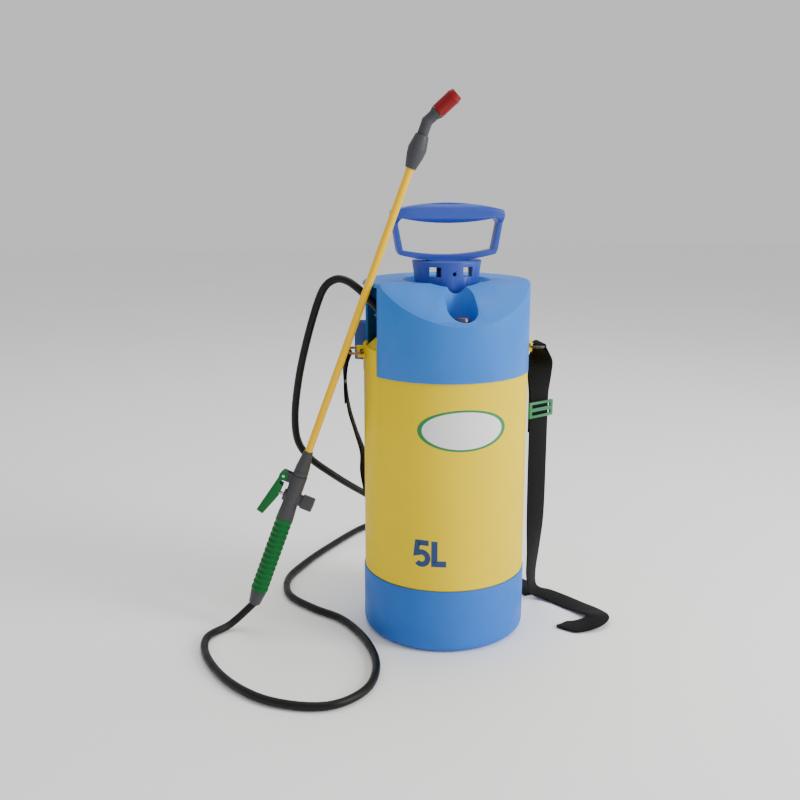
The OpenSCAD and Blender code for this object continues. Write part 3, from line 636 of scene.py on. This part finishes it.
# CAD nodes that show as they are, by look.
DRESSED = {
    SEAL: ["neck_gasket", "outlet_gasket", "relief_seal", "guide_seal", "check_valve", "cup_seal",
           "valve_seal", "lance_seal", "elbow_seal", "nozzle_seal"],
    NATURAL: ["dip_tube", "dip_filter", "pump_barrel", "piston", "gun_filter"],
    BLACK: ["rod_guide"],
    LANCE_YELLOW: ["lance_tube"],
    STEEL: ["piston_rod", "rod_nut", "handle_pin", "valve_stem", "valve_spring",
            "lever_pin", "nozzle_core"],
}


def dress_all():
    for look, nodes in DRESSED.items():
        for node in nodes:
            dress(node, look)


dress_all()


# ---------------------------------------------------------------- printed marks
TANK_R = 89
BADGE_AT = (-91, 245)
BADGE_HALF = (48.5, 21.8)
BADGE_LIFT = 0.14
RIM_INNER = 0.90
RIM_LIFT = 0.22
OVAL_RINGS = 8
OVAL_AROUND = 72
MARK_AT = (-116, 112)
MARK_LIFT = 0.12
MARK_STEP = 1.5
FIVE_WIDTH = 6.0
LITRE_WIDTH = 6.6
BOWL_AT = (-4.2, -5.2)
BOWL_HALF = (6.6, 6.8)


def on_tank(azimuth, z, u, v, lift):
    """A place on the tank's wall: u runs round it and v up it, in millimetres."""
    turn = math.radians(azimuth) + u / TANK_R
    reach = TANK_R + lift
    return (reach * math.cos(turn), reach * math.sin(turn), z + v)


def oval(name, look, inner, lift):
    """The badge's oval on the wall, or only its rim outside an inner share of its size."""
    points, faces = [], []
    around = OVAL_AROUND
    for k in range(OVAL_RINGS + 1):
        share = inner + (1 - inner) * k / OVAL_RINGS
        for i in range(around):
            turn = 2 * math.pi * i / around
            u = BADGE_HALF[0] * share * math.cos(turn)
            v = BADGE_HALF[1] * share * math.sin(turn)
            points.append(on_tank(*BADGE_AT, u, v, lift))
    for k in range(OVAL_RINGS):
        for i in range(around):
            a = k * around + i
            b = k * around + (i + 1) % around
            faces.append((a, b, b + around, a + around))
    mesh = mesh_of(name, points, faces)
    weld(mesh)
    add(name, mesh, look, "sprayer")


def stroke(line, width):
    """Left and right edges of a broad line, with mitred corners."""
    fine = []
    for a, b in zip(line, line[1:]):
        a, b = Vector(a), Vector(b)
        parts = max(1, round((b - a).length / MARK_STEP))
        fine += [a + (b - a) * k / parts for k in range(parts)]
    fine.append(Vector(line[-1]))
    edges = []
    for k, here in enumerate(fine):
        back = (here - fine[k - 1]).normalized() if k else (fine[1] - here).normalized()
        ahead = (fine[k + 1] - here).normalized() if k < len(fine) - 1 else back
        way = (back + ahead).normalized()
        normal = Vector((-way.y, way.x))
        reach = width / 2 / max(0.5, normal.dot(Vector((-back.y, back.x))))
        edges.append((here + normal * reach, here - normal * reach))
    return edges


def mark(name, line, width):
    """A printed stroke of the capacity mark."""
    points, faces = [], []
    for left, right in stroke(line, width):
        points.append(on_tank(*MARK_AT, left.x, left.y, MARK_LIFT))
        points.append(on_tank(*MARK_AT, right.x, right.y, MARK_LIFT))
    for k in range(len(points) // 2 - 1):
        faces.append((2 * k, 2 * k + 1, 2 * k + 3, 2 * k + 2))
    add(name, mesh_of(name, points, faces), MARK_BLUE, "sprayer")


def make_marks():
    """A blank oval badge and the tank's capacity."""
    oval("badge_face", BADGE_WHITE, 0.0, BADGE_LIFT)
    oval("badge_rim", BADGE_RIM, RIM_INNER, RIM_LIFT)
    bowl = [(BOWL_AT[0] + BOWL_HALF[0] * math.cos(math.radians(a)),
             BOWL_AT[1] + BOWL_HALF[1] * math.sin(math.radians(a)))
            for a in range(110, -150, -10)]
    five = [(3.4, 12), (-8.6, 12), (-10, 0.2), (-7.2, 1.0)] + bowl
    mark("mark_five", five, FIVE_WIDTH)
    mark("mark_litre", [(9.5, 14.3), (9.5, -10.7), (22, -10.7)], LITRE_WIDTH)


make_marks()


# ---------------------------------------------------------------- room and light
FLOOR_REACH = 6.0
WORLD_STRENGTH = 0.72
# Name: its place, where it looks, its size and its power.
LIGHTS = {
    "key": ((1.45, -0.95, 0.95), (0, 0, 0.25), (0.7, 1.2), 36),
    "top": ((0.3, 0.5, 2.0), (0, 0, 0.3), (1.6, 1.2), 18),
}


def area_light(name, place, at, size_m, power):
    data = bpy.data.lights.new(name, "AREA")
    data.shape = "RECTANGLE"
    data.size = size_m[0]
    data.size_y = size_m[1]
    data.energy = power
    light = bpy.data.objects.new(name, data)
    bpy.context.scene.collection.objects.link(light)
    light.location = place
    way = Vector(at) - Vector(place)
    light.rotation_mode = "QUATERNION"
    light.rotation_quaternion = way.to_track_quat("-Z", "Y")


def make_room():
    floor = bpy.data.meshes.new("floor")
    low = CAD_LOW.z
    reach = FLOOR_REACH
    corners = [(-reach, -reach, low), (reach, -reach, low),
               (reach, reach, low), (-reach, reach, low)]
    floor.from_pydata(corners, [], [(0, 1, 2, 3)])
    ground = bpy.data.objects.new("floor", floor)
    bpy.context.scene.collection.objects.link(ground)
    paper = Look("floor_paper", (0.97, 0.97, 0.97), 0.85, specular=0.05)
    paper.tint(paper.noise(2, 3), 0.99, 1.01)
    floor.materials.append(paper.mat)
    world = bpy.data.worlds.new("studio")
    world.use_nodes = True
    sky = world.node_tree.nodes["Background"]
    sky.inputs["Color"].default_value = (1, 1, 1, 1)
    sky.inputs["Strength"].default_value = WORLD_STRENGTH
    bpy.context.scene.world = world
    for name, settings in LIGHTS.items():
        area_light(name, *settings)


make_room()
